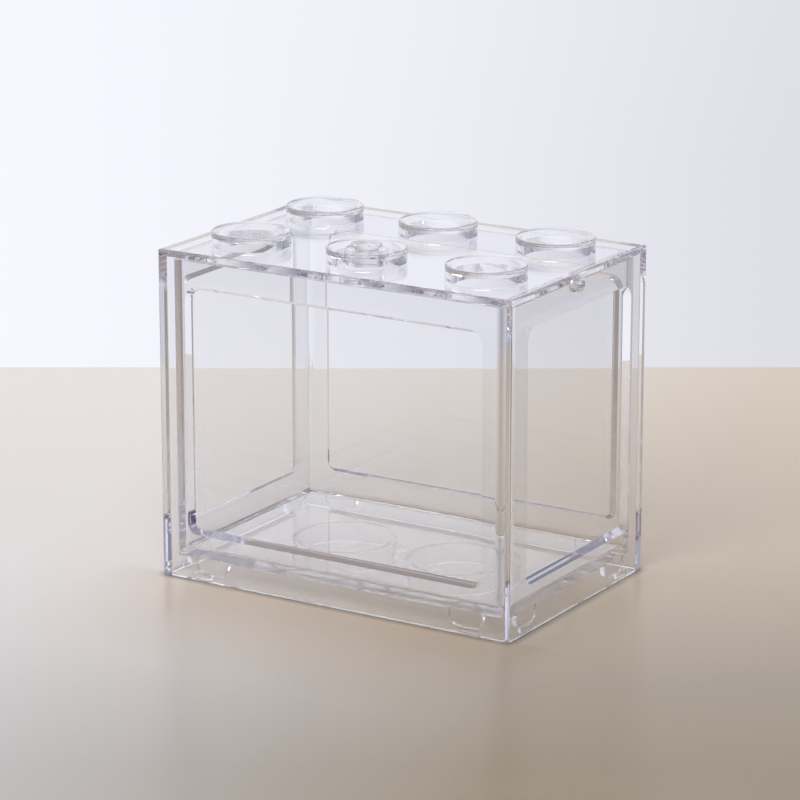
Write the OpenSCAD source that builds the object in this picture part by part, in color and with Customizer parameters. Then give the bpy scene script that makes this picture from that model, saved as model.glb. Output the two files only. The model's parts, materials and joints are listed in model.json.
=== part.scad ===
// Stackable clear breeding box for small fish.
// A studded cover with four windows drops over a plain water tank, and a small
// plug closes the feeding hole in one of the studs. Millimetres, +Z up, front
// face towards -Y, origin on the table under the middle of the box.

/* [Grid] */
// Distance between two studs, which is also the size of one grid unit
grid_pitch = 40; // [36:1:60]
// Number of studs along the long side
studs_long = 3; // [2:1:5]
// Number of studs along the short side
studs_short = 2; // [2:1:4]
// Gap left all round so that boxes can stand side by side on the grid
grid_gap = 0.2; // [0.1:0.1:1]
// Height of the box without its studs
box_h = 100; // [80:1:160]

/* [Cover] */
// Thickness of the cover's side walls
cover_wall = 2.2; // [1.6:0.1:4]
// Thickness of the cover's top plate
top_plate = 2.2; // [1.6:0.1:4]
// Rounding of the cover's upright outer edges
edge_round = 0.6; // [0.3:0.1:2]
// Rounding of the edge of the top face
top_round = 0.8; // [0.3:0.1:1.5]
// Rounding of the cover's upright inner edges
fold_round = 0.4; // [0.2:0.1:1.5]

/* [Windows] */
// Width of the upright frame beside each window
stile_w = 9.4; // [8:0.1:16]
// Height of the frame above each window
rail_above = 9.8; // [8:0.1:20]
// Height of the frame below each window
rail_below = 14.2; // [12:0.1:24]
// Radius of a window's upper corners at the outer face
window_round = 4.5; // [3:0.1:10]
// Radius of a window's lower corners at the outer face
sill_round = 3; // [2.5:0.1:10]
// How far a window's sides lean inwards for each millimetre of wall
window_slope = 0.6; // [0.2:0.1:0.6]

/* [Studs] */
// Diameter of a stud
stud_d = 23.6; // [20:0.1:26]
// Height of a stud above the top plate
stud_h = 4.2; // [3:0.1:5]
// Thickness of a stud's wall and roof
stud_wall = 2; // [1.4:0.1:3]
// Rounding of a stud's upper edge
stud_round = 0.5; // [0.2:0.1:1]

/* [Tank] */
// Gap between the tank and the cover on every side
tank_gap = 1.2; // [0.3:0.1:2]
// Thickness of the tank's walls
tank_wall = 2.1; // [1.8:0.1:3]
// Thickness of the tank's floor
floor_t = 2; // [1.6:0.1:3]
// Height of the space under the floor that takes the studs of a lower box
socket_h = 6; // [5.5:0.1:8]
// Gap between the tank's rim and the underside of the top plate
rim_gap = 1; // [0.5:0.1:3]
// Rounding of the tank's upright outer edges
tank_round = 1.5; // [0.5:0.1:3]
// Rounding of the tank's inner edges
inner_round = 1.5; // [0.8:0.1:2]

/* [Tank underside] */
// Diameter of a tube, which stands between four studs of a lower box
tube_d = 32; // [30:0.1:32.4]
// Wall of a tube
tube_wall = 1.8; // [1.2:0.1:2.4]
// Width of a tongue under the edge of the tank
tongue_w = 11; // [8:0.5:14]
// Thickness of a tongue
tongue_t = 1.8; // [1.2:0.1:2.4]
// Height of a tongue's tip above the table
tongue_clear = 1.2; // [0.8:0.1:2.5]
// Corner radius of a tongue's tip
tongue_round = 3; // [1:0.1:4]
// Distance from a short face to the middle of the tongue on a long side
tongue_in_long = 16; // [14:0.5:20]
// Distance from a long face to the middle of the tongue on a short side
tongue_in_short = 13.5; // [12:0.5:16]

/* [Detents] */
// Width of a small detent inside the cover's lower edge
detent_w = 6; // [4:0.5:10]
// Height of a detent
detent_h = 1.4; // [0.8:0.1:2]
// How far a detent stands out of the wall, less than the gap to the tank
detent_out = 0.9; // [0.1:0.1:1.5]

/* [Air line hole] */
// Diameter of the hole for an air line
air_hole_d = 4.2; // [3:0.1:5]
// Distance from the top face down to the middle of the hole
air_hole_down = 3.8; // [3.4:0.1:5]
// Gap round the air line where it passes through the tank's rim
air_notch_gap = 0.2; // [0:0.1:0.5]

/* [Feeding hole and plug] */
// Diameter of the plug's head
plug_head_d = 9; // [8.6:0.1:11]
// Height of the plug's head
plug_head_h = 1; // [0.6:0.1:2]
// Diameter of the plug's shank
plug_shank_d = 7; // [5:0.1:7.6]
// Gap round the shank in its hole
plug_gap = 0.1; // [0.05:0.01:0.2]
// Diameter of the round boss that guides the shank inside the stud
boss_d = 12; // [11:0.1:14]
// Height of that boss below the stud's roof
boss_h = 2.8; // [1:0.1:4]
// How far the shank reaches below the boss
shank_below = 0.4; // [0:0.1:2]
// Rounding of the plug's head
plug_round = 0.4; // [0.1:0.1:0.5]
// Gap under the plug's head
plug_seat_gap = 0.05; // [0:0.01:0.1]

/* [Hidden] */
$fn = 96;
clear_plastic = [0.90, 0.93, 0.98, 0.45];
plug_plastic = [0.86, 0.89, 0.95, 0.60];
cut = 1;

box_w = studs_long * grid_pitch - 2 * grid_gap;
box_d = studs_short * grid_pitch - 2 * grid_gap;
roof_z = box_h - top_plate;
window_h = box_h - rail_above - rail_below;
window_z = rail_below + window_h / 2;
stud_top = box_h + stud_h;
stud_roof_z = stud_top - stud_wall;
stud_places = [
    for (i = [0 : studs_long - 1], j = [0 : studs_short - 1])
        [(i - (studs_long - 1) / 2) * grid_pitch, (j - (studs_short - 1) / 2) * grid_pitch]
];
tube_places = [
    for (i = [0 : studs_long - 2], j = [0 : studs_short - 2])
        [(i - (studs_long - 2) / 2) * grid_pitch, (j - (studs_short - 2) / 2) * grid_pitch]
];
// The feeding hole is in the stud at the middle of the front row.
feed_place = [(floor(studs_long / 2) - (studs_long - 1) / 2) * grid_pitch,
              -(studs_short - 1) / 2 * grid_pitch];
tank_w = box_w - 2 * (cover_wall + tank_gap);
tank_d = box_d - 2 * (cover_wall + tank_gap);
tank_rim_z = roof_z - rim_gap;
tank_floor_z = socket_h + floor_t;
air_hole_z = box_h - air_hole_down;
air_notch_d = air_hole_d + 2 * air_notch_gap;
gate_d = 3;
gate_h = 0.8;
detent_z = 0.4;
// A detent sits under the half of a tongue that is nearer to the corner.
detent_shift = 2.4;

// Rectangle with four rounded corners, centred on the origin.
module round_rect(w, d, r) {
    square([w - 2 * r, d], center = true);
    square([w, d - 2 * r], center = true);
    for (x = [-1, 1], y = [-1, 1])
        translate([x * (w / 2 - r), y * (d / 2 - r)]) circle(r);
}

// Side view of a block: square below, rounded at its two upper corners.
module dome_rect(w, h, r) {
    translate([-w / 2, 0]) square([w, h - r]);
    translate([-w / 2 + r, 0]) square([w - 2 * r, h]);
    for (x = [-1, 1])
        translate([x * (w / 2 - r), h - r]) circle(r);
}

// Block on the z = 0 plane with its upright edges and its top edges rounded.
module soft_block(w, d, h, r_side, r_top) {
    intersection() {
        linear_extrude(h) round_rect(w, d, r_side);
        rotate([90, 0, 0]) linear_extrude(2 * d, center = true) dome_rect(w, h, r_top);
        rotate([90, 0, 90]) linear_extrude(2 * w, center = true) dome_rect(d, h, r_top);
    }
}

// Upper half of a window opening through a wall of thickness t, lying on the
// wall's inner face and widening towards +Z: two tapered bars for the straight
// sides and a cone in each corner, of radius r at the outer face.
module window_half(w, h, t, r) {
    low = -cut;
    high = t + cut;
    in_low = window_slope * high;
    in_high = -window_slope * cut;
    translate([0, h / 2 - r, 0])
        rotate([90, 0, 0])
            linear_extrude(h / 2 - r + cut)
                polygon([[-w / 2 + in_low, low], [w / 2 - in_low, low],
                         [w / 2 - in_high, high], [-w / 2 + in_high, high]]);
    rotate([90, 0, 90])
        linear_extrude(w - 2 * r, center = true)
            polygon([[-cut, low], [h / 2 - in_low, low], [h / 2 - in_high, high], [-cut, high]]);
    for (x = [-1, 1])
        translate([x * (w / 2 - r), h / 2 - r, low])
            cylinder(h = high - low, r1 = r - in_low, r2 = r - in_high);
}

// Whole window opening, with its upper side towards +Y.
module window_cut(w, h, t) {
    window_half(w, h, t, window_round);
    mirror([0, 1, 0]) window_half(w, h, t, sill_round);
}

// The four window openings, one in each side of the cover.
module window_cuts() {
    for (side = [0, 180]) {
        rotate([0, 0, side])
            translate([0, -box_d / 2 + cover_wall, window_z])
                rotate([90, 0, 0])
                    window_cut(box_w - 2 * stile_w, window_h, cover_wall);
        rotate([0, 0, side])
            translate([box_w / 2 - cover_wall, 0, window_z])
                rotate([90, 0, 90])
                    window_cut(box_d - 2 * stile_w, window_h, cover_wall);
    }
}

// Solid of revolution with a rounded upper edge, standing on z = 0.
module button(d, h, r) {
    rotate_extrude() {
        square([d / 2 - r, h]);
        square([d / 2, h - r]);
        translate([d / 2 - r, h - r]) circle(r, $fn = 48);
    }
}

// Puts its children at the middle of each tongue, facing out along -Y, with the
// nearer corner of the box towards -X. The argument is how far in the sides lie.
module at_tongues(inset) {
    for (turn = [0, 180])
        rotate([0, 0, turn]) {
            for (flip = [0, 1])
                mirror([flip, 0, 0])
                    translate([-box_w / 2 + tongue_in_long, -box_d / 2 + inset, 0])
                        children();
            for (flip = [0, 1])
                mirror([0, flip, 0])
                    rotate([0, 0, 90])
                        translate([-box_d / 2 + tongue_in_short, -box_w / 2 + inset, 0])
                            children();
        }
}

module cover() {
    color(clear_plastic)
    difference() {
        union() {
            difference() {
                union() {
                    soft_block(box_w, box_d, box_h, edge_round, top_round);
                    for (p = stud_places)
                        translate([p[0], p[1], roof_z])
                            button(stud_d, stud_top - roof_z, stud_round);
                }
                translate([0, 0, -cut])
                    linear_extrude(roof_z + cut)
                        round_rect(box_w - 2 * cover_wall, box_d - 2 * cover_wall, fold_round);
                for (p = stud_places)
                    translate([p[0], p[1], roof_z - cut])
                        cylinder(h = stud_roof_z - roof_z + cut, d = stud_d - 2 * stud_wall);
                window_cuts();
            }
            translate([feed_place[0], feed_place[1], stud_roof_z - boss_h])
                cylinder(h = boss_h + stud_wall / 2, d = boss_d);
            at_tongues(cover_wall)
                translate([-detent_shift - detent_w / 2, -cut, detent_z])
                    cube([detent_w, detent_out + cut, detent_h]);
        }
        translate([feed_place[0], feed_place[1], stud_roof_z - boss_h - cut])
            cylinder(h = boss_h + stud_wall + 2 * cut, d = plug_shank_d + 2 * plug_gap);
        translate([box_w / 2 - cover_wall - cut, 0, air_hole_z])
            rotate([0, 90, 0])
                cylinder(h = cover_wall + 2 * cut, d = air_hole_d);
    }
}

// Tongue hanging from the tank's floor, with its outer face on the XZ plane.
module tongue() {
    reach = socket_h + floor_t / 2 - tongue_clear;
    translate([0, tongue_t, tongue_clear + reach])
        rotate([90, 0, 0])
            mirror([0, 1, 0])
                linear_extrude(tongue_t) dome_rect(tongue_w, reach, tongue_round);
}

module tank() {
    color(clear_plastic)
    difference() {
        union() {
            translate([0, 0, socket_h])
                linear_extrude(tank_rim_z - socket_h)
                    round_rect(tank_w, tank_d, tank_round);
            for (p = tube_places)
                translate([p[0], p[1], 0])
                    cylinder(h = socket_h + floor_t / 2, d = tube_d);
            at_tongues(cover_wall + tank_gap) tongue();
            translate([0, 0, socket_h - gate_h])
                cylinder(h = gate_h + floor_t / 2, d = gate_d);
        }
        // The water space, rounded at its upright and its lower edges.
        translate([0, 0, 2 * tank_rim_z - tank_floor_z])
            mirror([0, 0, 1])
                translate([0, 0, tank_rim_z - tank_floor_z - cut])
                    soft_block(tank_w - 2 * tank_wall, tank_d - 2 * tank_wall,
                               tank_rim_z - tank_floor_z + cut, inner_round, inner_round);
        for (p = tube_places)
            translate([p[0], p[1], -cut])
                cylinder(h = socket_h + cut, d = tube_d - 2 * tube_wall);
        // Notch in the rim for the air line, open at the top.
        translate([tank_w / 2 - tank_wall / 2, 0, air_hole_z])
            rotate([0, 90, 0]) {
                cylinder(h = tank_wall + 2 * cut, d = air_notch_d, center = true);
                translate([-air_notch_d / 2, 0, 0])
                    cube([air_notch_d, air_notch_d, tank_wall + 2 * cut], center = true);
            }
    }
}

module feed_plug() {
    shank_h = stud_wall + boss_h + shank_below;
    color(plug_plastic)
    translate([feed_place[0], feed_place[1], 0]) {
        translate([0, 0, stud_top + plug_seat_gap])
            button(plug_head_d, plug_head_h, plug_round);
        translate([0, 0, stud_top - shank_h])
            cylinder(h = shank_h + plug_seat_gap + plug_head_h / 2, d = plug_shank_d);
    }
}

cover();
tank();
feed_plug();
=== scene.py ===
"""Looks of a stackable clear breeding box for small fish.

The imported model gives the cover, the tank and the feeding plug at their real size.
This file dresses them in clear moulded plastic and sets them on a pale stage.
"""

import json
import math

import bpy
from bpy.props import FloatProperty, FloatVectorProperty, PointerProperty
from mathutils import Matrix, Vector

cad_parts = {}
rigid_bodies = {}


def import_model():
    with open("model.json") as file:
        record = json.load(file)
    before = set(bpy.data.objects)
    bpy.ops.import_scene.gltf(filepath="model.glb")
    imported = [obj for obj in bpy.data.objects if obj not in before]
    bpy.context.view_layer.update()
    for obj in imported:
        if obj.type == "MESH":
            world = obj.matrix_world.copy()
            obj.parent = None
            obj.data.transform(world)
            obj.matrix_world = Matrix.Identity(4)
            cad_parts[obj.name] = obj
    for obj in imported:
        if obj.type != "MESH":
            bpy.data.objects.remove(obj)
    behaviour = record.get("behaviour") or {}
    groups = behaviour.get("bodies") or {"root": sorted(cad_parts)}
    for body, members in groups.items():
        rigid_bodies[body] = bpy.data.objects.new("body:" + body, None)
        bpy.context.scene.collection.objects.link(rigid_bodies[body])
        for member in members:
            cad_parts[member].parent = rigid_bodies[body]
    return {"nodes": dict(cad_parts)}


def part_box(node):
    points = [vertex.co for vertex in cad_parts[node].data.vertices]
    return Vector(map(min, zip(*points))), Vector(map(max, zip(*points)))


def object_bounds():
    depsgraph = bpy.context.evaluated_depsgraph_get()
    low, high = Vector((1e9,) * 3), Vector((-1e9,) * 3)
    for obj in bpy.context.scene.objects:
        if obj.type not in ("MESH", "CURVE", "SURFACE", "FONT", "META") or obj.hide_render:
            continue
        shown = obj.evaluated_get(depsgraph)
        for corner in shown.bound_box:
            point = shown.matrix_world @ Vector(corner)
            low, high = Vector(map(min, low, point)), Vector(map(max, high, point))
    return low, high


bl_info = {
    "name": "Breeding box looks",
    "version": (1, 1, 0),
    "blender": (4, 5, 0),
    "location": "3D View > Sidebar > Breeding box",
    "description": "Clear moulded plastic for a studded breeding box, and a pale stage to show it on",
    "category": "Material",
}

# A new file's own cube, lamp and camera go before the model comes in.
for leftover in list(bpy.data.objects):
    bpy.data.objects.remove(leftover)
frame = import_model()
CAD_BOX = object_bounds()


# ---------------------------------------------------------------- settings


def colour_setting(name, description, value):
    """A colour with its alpha left at one."""
    return FloatVectorProperty(name=name, description=description, subtype="COLOR",
                               size=4, min=0, max=1, default=(*value, 1))


class ClearPlastic(bpy.types.PropertyGroup):
    """How the cover and the tank look."""

    tint: colour_setting("Tint", "Colour of the plastic at its surface", (0.985, 0.988, 0.995))
    ior: FloatProperty(
        name="IOR", description="Index of refraction of the plastic", min=1.4, max=1.7, default=1.53)
    haze: FloatProperty(
        name="Haze", description="Roughness in the dullest patches of the polished faces",
        min=0, max=0.2, default=0.03)
    haze_size: FloatProperty(
        name="Haze size", description="Width of a dull patch", unit="LENGTH",
        min=0.001, max=0.1, default=0.018)
    ripple_height: FloatProperty(
        name="Ripple height", description="Height of the faint waves left by moulding",
        unit="LENGTH", min=0, max=0.001, precision=6, default=0.000002)
    ripple_size: FloatProperty(
        name="Ripple size", description="Length of such a wave", unit="LENGTH",
        min=0.001, max=0.1, default=0.012)
    cloud: FloatProperty(
        name="Cloud", description="Share of light that the scratched tank floor scatters",
        min=0, max=0.5, default=0.25)
    depth_colour: colour_setting("Depth colour", "Colour that light takes on along the plastic",
                                 (0.785, 0.775, 0.845))
    cover_density: FloatProperty(
        name="Cover density", description="How fast light takes on that colour in the cover, per metre",
        min=0, max=200, default=16)
    tank_density: FloatProperty(
        name="Tank density", description="How fast light takes it on in the clearer tank, per metre",
        min=0, max=200, default=6)


class PlugPlastic(bpy.types.PropertyGroup):
    """How the feeding plug looks."""

    tint: colour_setting("Tint", "Colour of the plug at its surface", (0.96, 0.97, 0.99))
    roughness: FloatProperty(
        name="Roughness", description="Roughness of the soft plug", min=0, max=0.5, default=0.08)
    grain_size: FloatProperty(
        name="Grain size", description="Width of a grain in the plug's dull skin", unit="LENGTH",
        min=0.0001, max=0.01, precision=4, default=0.0004)


class Studio(bpy.types.PropertyGroup):
    """The stage, the lamp and the camera."""

    contact_shade: FloatProperty(
        name="Contact shade", description="Share of light that is left right at the foot of the box",
        min=0, max=1, default=0.4)
    contact_reach: FloatProperty(
        name="Contact reach", description="How far the thin shadow round the foot of the box reaches",
        unit="LENGTH", min=0.0005, max=0.02, precision=4, default=0.003)
    front_shade: colour_setting("Front shade", "Colour of the soft shade in front of the box",
                                (0.80, 0.72, 0.63))
    front_reach: FloatProperty(
        name="Front reach", description="How far the soft shade in front of the box reaches",
        unit="LENGTH", min=0.01, max=0.3, default=0.065)
    floor_tint: colour_setting("Floor", "Colour over the whole table top", (1, 1, 1))
    floor_roughness: FloatProperty(
        name="Floor roughness", description="Roughness of the satin table top", min=0, max=1,
        default=0.25)
    floor_gap: FloatProperty(
        name="Floor gap", description="How far the table top lies below the box", unit="LENGTH",
        min=0, max=0.001, precision=5, default=0.0002)
    floor_behind: FloatProperty(
        name="Behind", description="How far the table top reaches behind the box", unit="LENGTH",
        min=0.1, max=5, default=0.233)
    floor_reach: FloatProperty(
        name="Reach", description="How far the table top reaches to the front and the sides",
        unit="LENGTH", min=0.5, max=20, default=3)
    lens: FloatProperty(
        name="Lens", description="Focal length on a 36 mm sensor", min=20, max=400, default=166.35)
    turn: FloatProperty(
        name="Turn", description="How far right of the front face the camera stands",
        subtype="ANGLE", default=math.radians(31.607))
    tilt: FloatProperty(
        name="Tilt", description="How far the camera looks down", subtype="ANGLE",
        default=math.radians(15.77))
    camera_place: FloatVectorProperty(
        name="Camera", description="Where the camera stands", subtype="TRANSLATION",
        unit="LENGTH", size=3, default=(0.5523, -0.8991, 0.3513))
    view_end: FloatProperty(
        name="View end", description="How far the camera sees", unit="LENGTH", min=1, max=500,
        default=50)
    lamp_power: FloatProperty(
        name="Lamp", description="Power of the soft lamp", unit="POWER", min=0, max=200, default=4)
    lamp_size: FloatProperty(
        name="Lamp size", description="Width of the soft lamp", unit="LENGTH", min=0.1, max=3,
        default=0.6)
    lamp_place: FloatVectorProperty(
        name="Lamp place", description="Where the lamp hangs, seen from the camera: right, away, up",
        subtype="TRANSLATION", unit="LENGTH", size=3, default=(-0.2, -0.6, 0.7))


# Brightness of the room round the box. Each row has a height in degrees above the table and, for
# degrees to the right of the view, the brightness there: a bright window behind on the left, a
# dark wall on the right.
ROOM = (
    (-12, ((-180, 0.50), (-120, 0.52), (-60, 0.80), (-30, 1.00), (-6.2, 0.965), (0, 0.875),
           (6.2, 0.75), (30, 0.50), (60, 0.36), (120, 0.42), (180, 0.50))),
    (6, ((-180, 0.45), (-120, 0.33), (-90, 0.45), (-60, 0.72), (-30, 0.88), (0, 0.95),
         (30, 0.52), (60, 0.34), (120, 0.42), (180, 0.45))),
    (21, ((-180, 0.68), (-120, 0.30), (-90, 0.66), (-60, 0.90), (0, 0.94),
          (30, 0.45), (60, 0.28), (90, 0.55), (180, 0.68))),
    (45, ((-180, 0.72), (-120, 1.00), (-60, 0.80), (-30, 0.95), (0, 0.42),
          (30, 0.08), (60, 0.34), (120, 0.55), (180, 0.72))),
    (75, ((-180, 0.48), (180, 0.48))),
)

# Colour of that light by bearing: cool from the window and from the wall on the right, warm from
# the left in front.
ROOM_TINT = ((-180, (0.95, 0.95, 1.0)), (-120, (1.12, 0.97, 0.85)), (-75, (0.98, 0.98, 1.06)),
             (8, (0.975, 0.98, 1.06)), (30, (0.87, 0.9, 1.12)), (90, (0.95, 0.96, 1.1)),
             (180, (0.95, 0.95, 1.0)))
ALL_ROUND = (-180, 180)

# Light caught between the polished faces of a plate turns more than a hundred times.
BOUNCES = 160

# Colour of the table top on its left and on its right, by metres from the front to the back. It
# holds painted light and shade: paler towards the window behind on the left, darker to the front.
TABLE_LEFT = ((-0.16, (0.57, 0.57, 0.58)), (0.01, (0.81, 0.77, 0.73)), (0.22, (1.0, 0.95, 0.85)))
TABLE_RIGHT = ((-0.16, (0.31, 0.25, 0.16)), (-0.1, (0.37, 0.31, 0.22)), (0.01, (0.59, 0.49, 0.36)),
               (0.22, (0.85, 0.73, 0.55)))

# The left colours turn into the right ones between these sides, in metres to the right, along a
# line that leans to the right by this much for each metre away.
TABLE_SIDES = (-0.12, 0.07)
TABLE_SLANT = 0.3

# Far on the right, past the picture, the table top falls into the shade of the wall.
SHADE_SIDES = (0.15, 0.35)
SHADE = 0.55

WHITE = (1, 1, 1)

# Width of the foot of the box on the table, and how softly the shade in front of it ends sideways.
FOOT_WIDTH = 0.002
SHADE_EDGE = 0.02

# Share of the sky that the table top sees right beside a wall.
BESIDE_WALL = 0.5

# The upper face of the tank's floor lies between these heights. A face is level where its normal
# is at least this upright.
TANK_FLOOR = (0.0075, 0.0085)
LEVEL = 0.99

# Noise below the first value leaves the plastic polished, and from the second on it is dullest.
HAZE_NOISE = (0.5, 0.8)

# The plug's roughness varies by this share of itself, both ways.
DULL_SPREAD = 0.5

# Sockets of a mix node for its factor and its colours, among those for other kinds of value.
MIX_FACTOR, MIX_UNDER, MIX_OVER, MIX_RESULT = 0, 6, 7, 2


# ---------------------------------------------------------------- node helpers


def new_material(name):
    """An empty node material and its output node."""
    material = bpy.data.materials.new(name)
    material.use_nodes = True
    material.node_tree.nodes.clear()
    return material, material.node_tree.nodes.new("ShaderNodeOutputMaterial")


def plug_in(tree, socket, value):
    """Sets an input socket, or links another node's output to it."""
    if isinstance(value, bpy.types.NodeSocket):
        tree.links.new(value, socket)
    else:
        socket.default_value = value


def add_node(tree, kind, **values):
    """A node with its input sockets set or linked by name."""
    node = tree.nodes.new(kind)
    for name, value in values.items():
        plug_in(tree, node.inputs[name.replace("_", " ")], value)
    return node


def arithmetic(tree, operation, *values):
    """Result of a math node."""
    node = tree.nodes.new("ShaderNodeMath")
    node.operation = operation
    for socket, value in zip(node.inputs, values):
        plug_in(tree, socket, value)
    return node.outputs[0]


def ramp(tree, factor, stops, low, high):
    """Colour from a list of stops between two values of the factor."""
    place = add_node(tree, "ShaderNodeMapRange", Value=factor, From_Min=low, From_Max=high)
    node = add_node(tree, "ShaderNodeValToRGB", Fac=place.outputs[0])
    elements = node.color_ramp.elements
    while len(elements) < len(stops):
        elements.new(1.0)
    for element, (value, colour) in zip(elements, stops):
        element.position = (value - low) / (high - low)
        element.color = (*colour, 1)
    return node.outputs[0]


def blend(tree, kind, factor, under, over):
    """Colour from a mix node."""
    node = tree.nodes.new("ShaderNodeMix")
    node.data_type = "RGBA"
    node.blend_type = kind
    for socket, value in ((MIX_FACTOR, factor), (MIX_UNDER, under), (MIX_OVER, over)):
        plug_in(tree, node.inputs[socket], value)
    return node.outputs[MIX_RESULT]


def split(tree, vector):
    """The three parts of a vector."""
    return add_node(tree, "ShaderNodeSeparateXYZ", Vector=vector).outputs


def seen_from_camera(tree, vector, turn):
    """Splits a vector into right, away and up, for the side that the scene's camera stands on."""
    turned = add_node(tree, "ShaderNodeVectorRotate", Vector=vector, Angle=-turn)
    turned.rotation_type = "Z_AXIS"
    return split(tree, turned.outputs[0])


# ---------------------------------------------------------------- materials


def level_faces(tree, place, low, high):
    """One on the level faces between two heights, and zero elsewhere."""
    height = split(tree, place)[2]
    within = arithmetic(tree, "MULTIPLY", arithmetic(tree, "GREATER_THAN", height, low),
                        arithmetic(tree, "LESS_THAN", height, high))
    facing = add_node(tree, "ShaderNodeNewGeometry").outputs["True Normal"]
    upright = arithmetic(tree, "ABSOLUTE", split(tree, facing)[2])
    return arithmetic(tree, "MULTIPLY", within, arithmetic(tree, "GREATER_THAN", upright, LEVEL))


def clear_plastic(settings, name, density, clouded=None):
    """Polished see-through plastic that turns lilac along its edges.

    The level faces between two given heights are clouded by fine scratches."""
    material, output = new_material(name)
    tree = material.node_tree
    place = add_node(tree, "ShaderNodeTexCoord").outputs["Object"]
    patches = add_node(tree, "ShaderNodeTexNoise", Vector=place, Scale=1 / settings.haze_size,
                       Detail=3.0)
    haze = add_node(tree, "ShaderNodeMapRange", Value=patches.outputs[0], From_Min=HAZE_NOISE[0],
                    From_Max=HAZE_NOISE[1], To_Min=0.0, To_Max=settings.haze)
    waves = add_node(tree, "ShaderNodeTexNoise", Vector=place, Scale=1 / settings.ripple_size,
                     Detail=1.0)
    ripple = add_node(tree, "ShaderNodeBump", Height=waves.outputs[0], Strength=1.0,
                      Distance=settings.ripple_height)
    shader = add_node(tree, "ShaderNodeBsdfPrincipled", Base_Color=settings.tint, IOR=settings.ior,
                      Roughness=haze.outputs[0], Normal=ripple.outputs[0], Transmission_Weight=1.0)
    if clouded:
        cloud = arithmetic(tree, "MULTIPLY", level_faces(tree, place, *clouded), settings.cloud)
        clear = arithmetic(tree, "SUBTRACT", 1, cloud)
        plug_in(tree, shader.inputs["Transmission Weight"], clear)
    depth = add_node(tree, "ShaderNodeVolumeAbsorption", Color=settings.depth_colour,
                     Density=density)
    tree.links.new(shader.outputs[0], output.inputs["Surface"])
    tree.links.new(depth.outputs[0], output.inputs["Volume"])
    return material


def plug_plastic(settings, ior):
    """Soft clear plastic, a little duller than the cover."""
    material, output = new_material("plug_plastic_look")
    tree = material.node_tree
    place = add_node(tree, "ShaderNodeTexCoord").outputs["Object"]
    grain = add_node(tree, "ShaderNodeTexNoise", Vector=place, Scale=1 / settings.grain_size,
                     Detail=2.0)
    dull = add_node(tree, "ShaderNodeMapRange", Value=grain.outputs[0],
                    To_Min=settings.roughness * (1 - DULL_SPREAD),
                    To_Max=settings.roughness * (1 + DULL_SPREAD))
    shader = add_node(tree, "ShaderNodeBsdfPrincipled", Base_Color=settings.tint, IOR=ior,
                      Roughness=dull.outputs[0], Transmission_Weight=1.0)
    tree.links.new(shader.outputs[0], output.inputs["Surface"])
    return material


def dress(node, material):
    """Gives a CAD node its material."""
    for slot in frame["nodes"][node].material_slots:
        slot.material = material


# ---------------------------------------------------------------- stage


def stage_mesh(name, points, material):
    """A flat stage piece from its corners."""
    mesh = bpy.data.meshes.new(name)
    mesh.from_pydata(points, [], [tuple(range(len(points)))])
    mesh.materials.append(material)
    piece = bpy.data.objects.new(name, mesh)
    bpy.context.scene.collection.objects.link(piece)


def contact_shadow_line(tree, outward, settings):
    """Painted contact shadow: a thin dark line where a wall meets the table, at the foot of the box
    alone.
    """
    sky = add_node(tree, "ShaderNodeAmbientOcclusion", Distance=settings.contact_reach)
    line = add_node(tree, "ShaderNodeMapRange", Value=sky.outputs["AO"], From_Min=BESIDE_WALL,
                    From_Max=1.0, To_Min=settings.contact_shade, To_Max=1.0)
    foot = arithmetic(tree, "GREATER_THAN", outward, -FOOT_WIDTH)
    return blend(tree, "MIX", foot, (*WHITE, 1), line.outputs[0])


def soft_shade(tree, deep, beside, ahead, settings):
    """Soft shade on the table top in front of the box, which starts at the tank."""
    shade = ramp(tree, ahead, ((0, settings.front_shade[:3]), (settings.front_reach, WHITE)),
                 0, settings.front_reach)
    front = add_node(tree, "ShaderNodeMapRange", Value=deep, From_Min=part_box("tank")[0][1],
                     From_Max=CAD_BOX[0][1])
    width = add_node(tree, "ShaderNodeMapRange", Value=beside, From_Min=SHADE_EDGE,
                     From_Max=-SHADE_EDGE)
    share = arithmetic(tree, "MULTIPLY", front.outputs[0], width.outputs[0])
    return blend(tree, "MIX", share, (*WHITE, 1), shade)


def foot_shadow(tree, place, settings):
    """All the shade that the box throws on the table top."""
    across, deep, _ = split(tree, place)
    beside, ahead = (arithmetic(tree, "SUBTRACT", arithmetic(tree, "ABSOLUTE", way), half)
                     for way, half in ((across, CAD_BOX[1][0]), (deep, CAD_BOX[1][1])))
    outward = arithmetic(tree, "MAXIMUM", beside, ahead)
    return blend(tree, "MULTIPLY", 1.0, contact_shadow_line(tree, outward, settings),
                 soft_shade(tree, deep, beside, ahead, settings))


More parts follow.
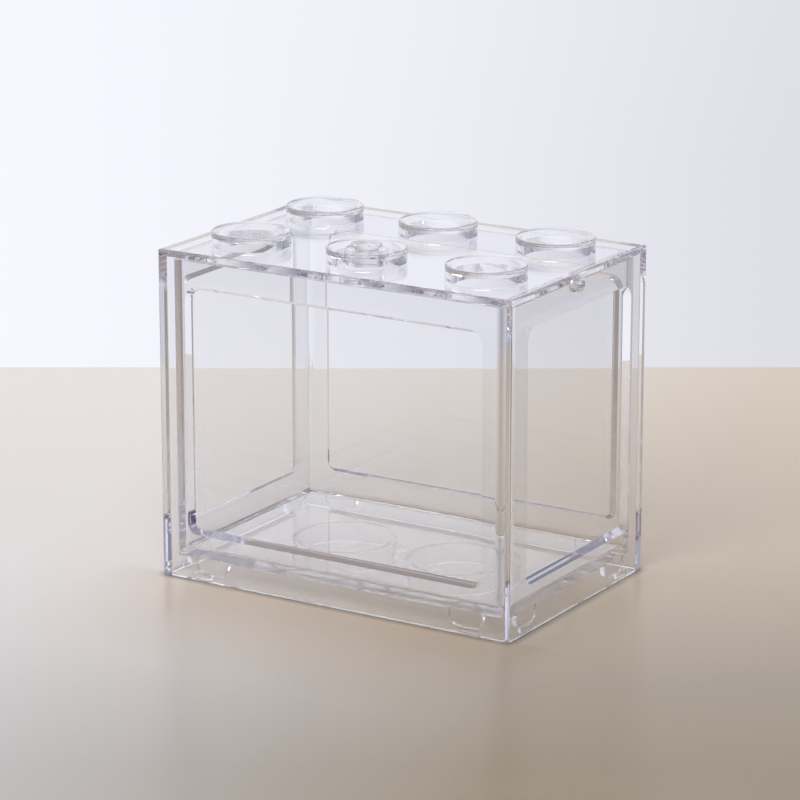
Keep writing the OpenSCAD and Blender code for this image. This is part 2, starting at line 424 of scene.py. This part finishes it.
def table_top(settings):
    """The pale table top, which ends a little way behind the box, square to the view."""
    material, output = new_material("table_top_look")
    tree = material.node_tree
    place = add_node(tree, "ShaderNodeTexCoord").outputs["Object"]
    right, away, _ = seen_from_camera(tree, place, settings.turn)
    # The colour built below is painted light and shade: paler towards the window, darker to the front,
    # in the wall's shade and round the box.
    slanted = arithmetic(tree, "SUBTRACT", right, arithmetic(tree, "MULTIPLY", away, TABLE_SLANT))
    side = add_node(tree, "ShaderNodeMapRange", Value=slanted, From_Min=TABLE_SIDES[0],
                    From_Max=TABLE_SIDES[1])
    left_colour, right_colour = (ramp(tree, away, stops, stops[0][0], stops[-1][0])
                                 for stops in (TABLE_LEFT, TABLE_RIGHT))
    colour = blend(tree, "MIX", side.outputs[0], left_colour, right_colour)
    shade = add_node(tree, "ShaderNodeMapRange", Value=right, From_Min=SHADE_SIDES[0],
                     From_Max=SHADE_SIDES[1], To_Min=1.0, To_Max=SHADE)
    for layer in (settings.floor_tint, shade.outputs[0], foot_shadow(tree, place, settings)):
        colour = blend(tree, "MULTIPLY", 1.0, colour, layer)
    shader = add_node(tree, "ShaderNodeBsdfPrincipled", Base_Color=colour,
                      Roughness=settings.floor_roughness)
    tree.links.new(shader.outputs[0], output.inputs["Surface"])
    reach, behind, low = settings.floor_reach, settings.floor_behind, -settings.floor_gap
    turned = Matrix.Rotation(settings.turn, 3, "Z")
    corners = [(-reach, -reach, low), (reach, -reach, low), (reach, behind, low), (-reach, behind, low)]
    stage_mesh("table_top", [turned @ Vector(corner) for corner in corners], material)


def light_the_room(settings):
    """Room light, brighter on the left and behind, which is also the backdrop."""
    world = bpy.data.worlds.new("studio")
    bpy.context.scene.world = world
    world.use_nodes = True
    tree = world.node_tree
    view = add_node(tree, "ShaderNodeTexCoord").outputs["Generated"]
    right, away, up = seen_from_camera(tree, view, settings.turn)
    bearing = arithmetic(tree, "DEGREES", arithmetic(tree, "ARCTAN2", right, away))
    height = arithmetic(tree, "DEGREES", arithmetic(tree, "ARCSINE", up))
    rings = [ramp(tree, bearing, [(side, (bright,) * 3) for side, bright in stops], *ALL_ROUND)
             for _, stops in ROOM]
    glow = rings[0]
    for (below, _), (above, _), ring in zip(ROOM, ROOM[1:], rings[1:]):
        rise = add_node(tree, "ShaderNodeMapRange", Value=height, From_Min=below, From_Max=above)
        glow = blend(tree, "MIX", rise.outputs[0], glow, ring)
    glow = blend(tree, "MULTIPLY", 1.0, glow, ramp(tree, bearing, ROOM_TINT, *ALL_ROUND))
    tree.links.new(glow, tree.nodes["Background"].inputs["Color"])


def hang_lamp(settings):
    """A square soft lamp that shines at the box."""
    lamp = bpy.data.lights.new("soft_lamp", "AREA")
    lamp.size = settings.lamp_size
    lamp.energy = settings.lamp_power
    holder = bpy.data.objects.new("soft_lamp", lamp)
    holder.location = Matrix.Rotation(settings.turn, 3, "Z") @ Vector(settings.lamp_place)
    holder.rotation_euler = (-holder.location).to_track_quat("-Z", "Y").to_euler()
    bpy.context.scene.collection.objects.link(holder)


def set_camera(settings):
    """The camera at the photograph's angle."""
    data = bpy.data.cameras.new("camera")
    data.lens = settings.lens
    data.clip_end = settings.view_end
    camera = bpy.data.objects.new("camera", data)
    camera.location = settings.camera_place
    camera.rotation_euler = (math.pi / 2 - settings.tilt, 0, settings.turn)
    bpy.context.scene.collection.objects.link(camera)
    bpy.context.scene.camera = camera


def set_quality(scene):
    """Plain colours, and enough bounces for light that runs along inside the plastic."""
    scene.view_settings.view_transform = "Standard"
    scene.cycles.max_bounces = BOUNCES
    scene.cycles.transmission_bounces = BOUNCES
    scene.cycles.glossy_bounces = BOUNCES
    scene.cycles.blur_glossy = 0.0


# ---------------------------------------------------------------- operators


class SetStage(bpy.types.Operator):
    """Makes the table top, the light and the camera"""

    bl_idname = "breeding_box.set_stage"
    bl_label = "Set the stage"

    def execute(self, context):
        settings = context.scene.studio
        set_camera(settings)
        table_top(settings)
        light_the_room(settings)
        hang_lamp(settings)
        set_quality(context.scene)
        return {"FINISHED"}


class DressShells(bpy.types.Operator):
    """Gives the cover and the tank their clear plastic"""

    bl_idname = "breeding_box.dress_shells"
    bl_label = "Dress cover and tank"

    def execute(self, context):
        settings = context.scene.clear_plastic
        dress("cover", clear_plastic(settings, "cover_look", settings.cover_density))
        dress("tank", clear_plastic(settings, "tank_look", settings.tank_density, TANK_FLOOR))
        return {"FINISHED"}


class DressPlug(bpy.types.Operator):
    """Gives the feeding plug its plastic"""

    bl_idname = "breeding_box.dress_plug"
    bl_label = "Dress plug"

    def execute(self, context):
        dress("feed_plug", plug_plastic(context.scene.plug_plastic, context.scene.clear_plastic.ior))
        return {"FINISHED"}


class SidebarPanel(bpy.types.Panel):
    """Lists the steps"""

    bl_idname = "BREEDING_PT_steps"
    bl_label = "Breeding box"
    bl_space_type = "VIEW_3D"
    bl_region_type = "UI"
    bl_category = "Breeding box"

    def draw(self, context):
        for step in STEPS:
            self.layout.operator(step.bl_idname)


STEPS = (SetStage, DressShells, DressPlug)
SETTINGS = {"clear_plastic": ClearPlastic, "plug_plastic": PlugPlastic, "studio": Studio}
CLASSES = (*SETTINGS.values(), *STEPS, SidebarPanel)


def register():
    for item in CLASSES:
        bpy.utils.register_class(item)
    for name, group in SETTINGS.items():
        setattr(bpy.types.Scene, name, PointerProperty(type=group))


def unregister():
    for name in SETTINGS:
        delattr(bpy.types.Scene, name)
    for item in reversed(CLASSES):
        bpy.utils.unregister_class(item)


def main():
    """Makes the whole scene."""
    register()
    bpy.ops.breeding_box.set_stage()
    bpy.ops.breeding_box.dress_shells()
    bpy.ops.breeding_box.dress_plug()


if __name__ == "__main__":
    main()
